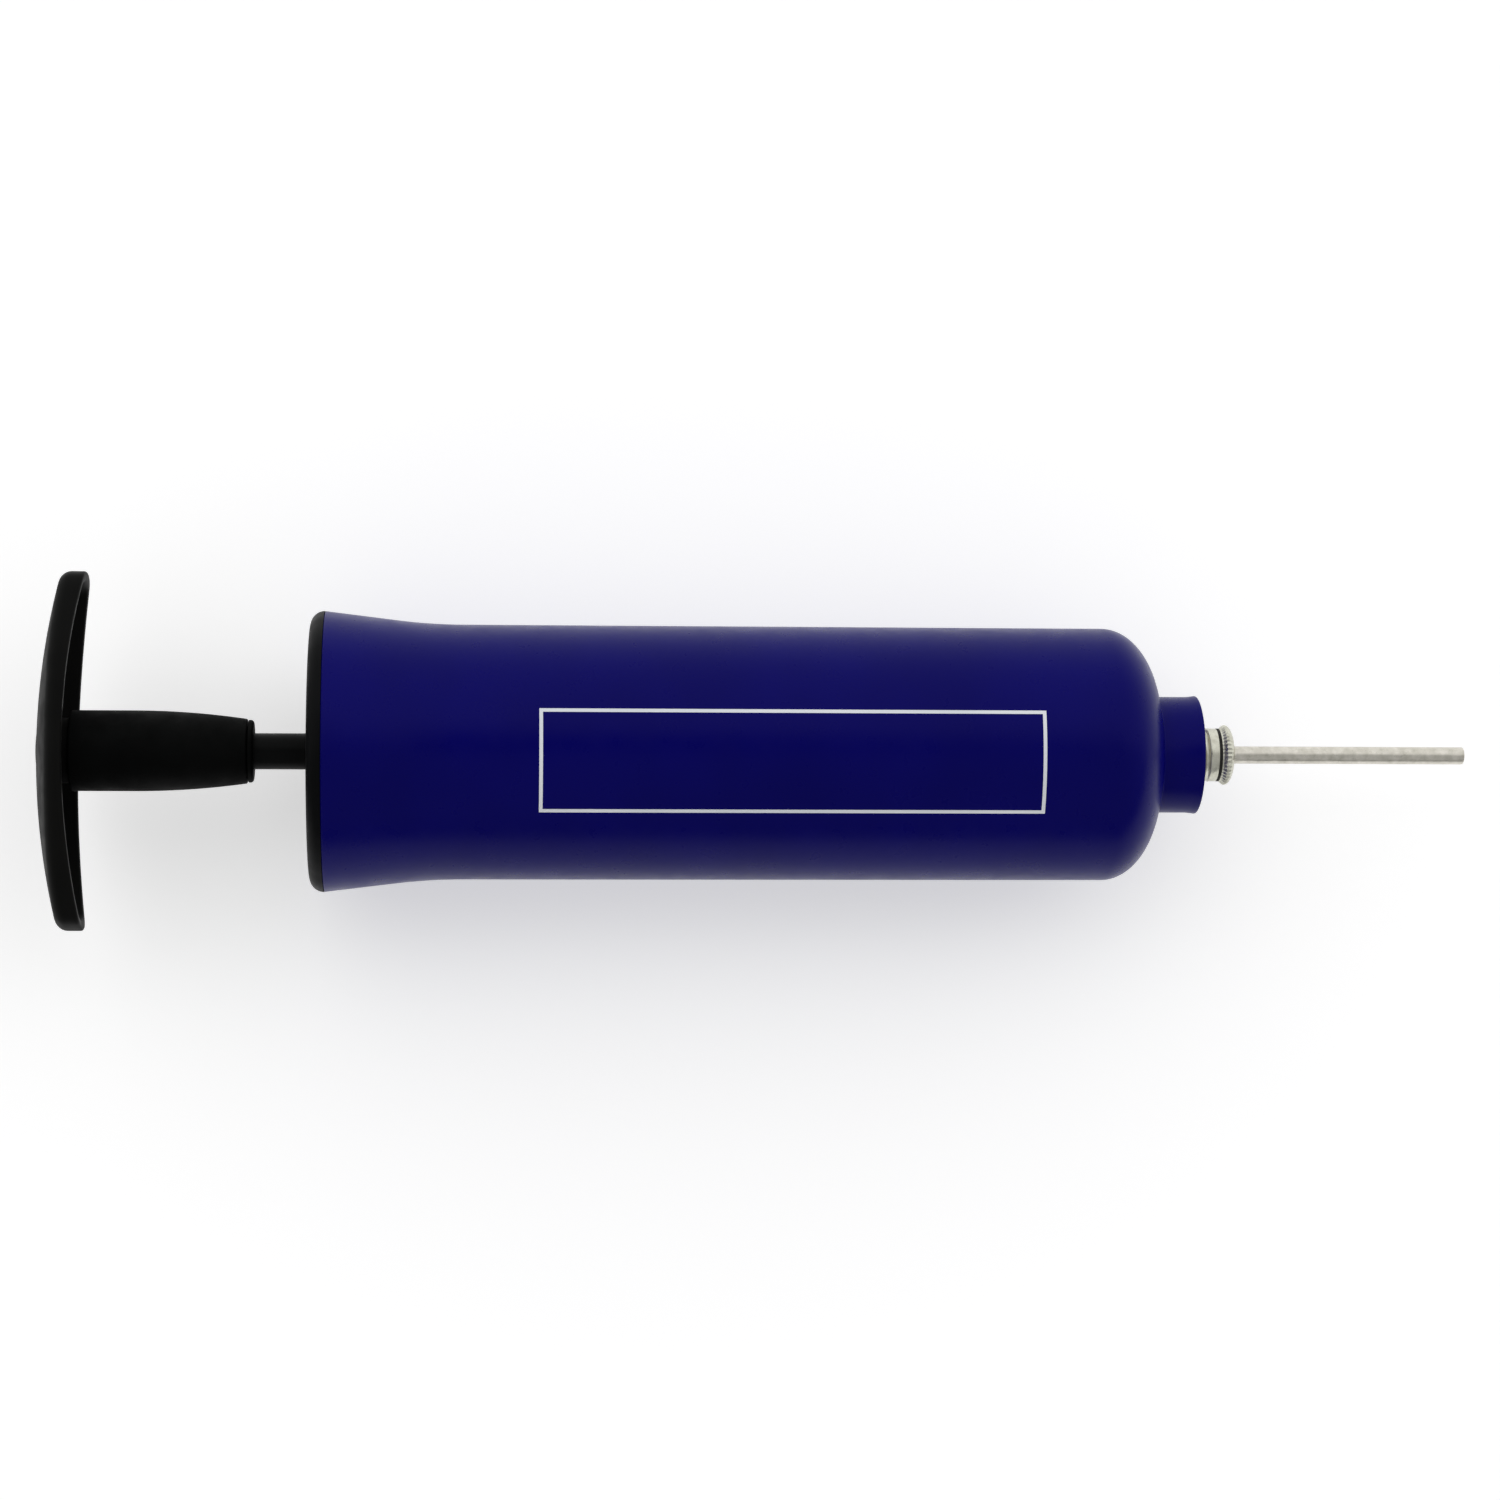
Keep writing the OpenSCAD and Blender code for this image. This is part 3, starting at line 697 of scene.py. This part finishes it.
def tube_profile():
    """The needle's tube: a thicker root inside the flange, then bare to its softened, cut end."""
    points = [(TUBE_X, AIR_R), (TUBE_X, TUBE_ROOT_R), (FLANGE_END, TUBE_ROOT_R), (FLANGE_END, TUBE_R)]
    points += [(FLANGE_END + (TUBE_END - FLANGE_END) * i / 14, TUBE_R) for i in range(1, 14)]
    points += arc((TUBE_END - TUBE_EDGE, TUBE_R - TUBE_EDGE), TUBE_EDGE, 90, 5, 5)
    return points + [(TUBE_END - 0.04, AIR_R + 0.02), (TUBE_END - 0.12, AIR_R)]


tube_skin = turned("needle_tube_skin", tube_profile(), 64)
dress(tube_skin, TUBE_NICKEL, "needle", "tube_nickel", "needle_tube")


def solder_profile():
    """A small bead of solder where the tube enters the flange."""
    inner_r = TUBE_R + SOLDER_GAP
    sunk_x = FLANGE_END - SOLDER_SINK
    points = [(sunk_x, inner_r), (sunk_x, TUBE_R + SOLDER_R)]
    centre = (FLANGE_END + SOLDER_R, TUBE_R + SOLDER_SKIN + SOLDER_R)
    points += arc(centre, SOLDER_R, 180, 270, 6)
    return points + [(FLANGE_END + SOLDER_R, inner_r)]


dress(turned("solder_bead", solder_profile(), 64, 60), TUBE_NICKEL, "needle", "tube_nickel")


# ---------------------------------------------------------------- floor, light and camera
def stage_floor():
    """A pale sheet that touches the flare and the far end of the barrel, as the pump lies on it."""
    lean = math.atan2(MOUTH_R - BARREL_R, STRAIGHT_END - MOUTH_X)
    bpy.ops.mesh.primitive_plane_add(size=FLOOR_SIZE * MM, location=(0, 0, 0))
    floor = bpy.context.object
    floor.name = "floor"
    floor.rotation_euler = (0, -lean, 0)
    drop = MOUTH_R + MOUTH_X * math.tan(lean)
    floor.location = (0, 0, -(drop + FLOOR_GAP) * MM)
    material, _, _, shader = new_material("floor_white")
    shader.inputs["Base Color"].default_value = (0.9, 0.9, 0.9, 1)
    shader.inputs["Roughness"].default_value = 0.9
    shader.inputs["Specular IOR Level"].default_value = 0.1
    shader.inputs["Emission Color"].default_value = (1, 1, 1, 1)
    shader.inputs["Emission Strength"].default_value = FLOOR_GLOW
    floor.data.materials.append(material)


def sky():
    """A white room, brighter above the +Y side, with a dark gap straight overhead."""
    world = bpy.data.worlds.new("studio")
    scene.world = world
    world.use_nodes = True
    nodes, links = world.node_tree.nodes, world.node_tree.links
    source = nodes.new("ShaderNodeTexCoord")
    split = nodes.new("ShaderNodeSeparateXYZ")
    links.new(source.outputs["Generated"], split.inputs["Vector"])

    def band(value, low, high, to_low, to_high):
        """A smooth step of a value: to_low up to low, to_high from high on."""
        node = nodes.new("ShaderNodeMapRange")
        node.interpolation_type = "SMOOTHSTEP"
        settings = {"From Min": low, "From Max": high, "To Min": to_low, "To Max": to_high}
        for socket, number in settings.items():
            node.inputs[socket].default_value = number
        links.new(value, node.inputs["Value"])
        return node.outputs["Result"]

    def blend(share, first, second):
        """First where the share is 0 and second where it is 1, each a number or a socket."""
        node = nodes.new("ShaderNodeMix")
        node.data_type = "FLOAT"
        links.new(share, node.inputs["Factor"])
        for socket, part in zip(node.inputs[2:4], (first, second)):
            if isinstance(part, float):
                socket.default_value = part
            else:
                links.new(part, socket)
        return node.outputs[0]

    along, side, up = (split.outputs[axis] for axis in "XYZ")
    sides = band(side, 0.0, 0.12, SKY_NEAR, SKY_FAR)
    gap = blend(band(side, 0.08, 0.34, 0.0, 1.0), SKY_GAP, SKY_FAR)
    gap = blend(band(side, -0.14, -0.02, 0.0, 1.0), SKY_NEAR, gap)
    gap = blend(band(along, 0.08, 0.22, 0.0, 1.0), gap, sides)
    gap = blend(band(along, -0.45, -0.25, 0.0, 1.0), sides, gap)
    overhead = blend(band(up, 0.72, 0.9, 0.0, 1.0), sides, gap)
    low = band(side, -0.3, 0.3, SKY_LOW, SKY_FAR)
    light = blend(band(up, 0.1, 0.45, 0.0, 1.0), low, overhead)
    links.new(light, nodes["Background"].inputs["Strength"])
    nodes["Background"].inputs["Color"].default_value = (1, 1, 1, 1)


def photo_camera():
    """A long lens well above the pump, a little to its left, as the photograph was taken."""
    place = Vector(CAMERA_PLACE) * MM
    aim = Vector(CAMERA_AIM) * MM
    back = (place - aim).normalized()
    right = Vector((0, 1, 0)).cross(back).normalized()
    turn = Matrix((right, back.cross(right), back)).transposed()
    roll = Matrix.Rotation(math.radians(CAMERA_ROLL), 3, "Z")
    data = bpy.data.cameras.new("camera")
    data.lens = CAMERA_LENS
    data.sensor_width = CAMERA_SENSOR
    data.clip_start = 0.01
    camera = bpy.data.objects.new("camera", data)
    camera.matrix_world = Matrix.Translation(place) @ (turn @ roll).to_4x4()
    scene.collection.objects.link(camera)
    scene.camera = camera


stage_floor()
sky()
photo_camera()
scene.view_settings.view_transform = "Standard"
scene.view_settings.look = "None"
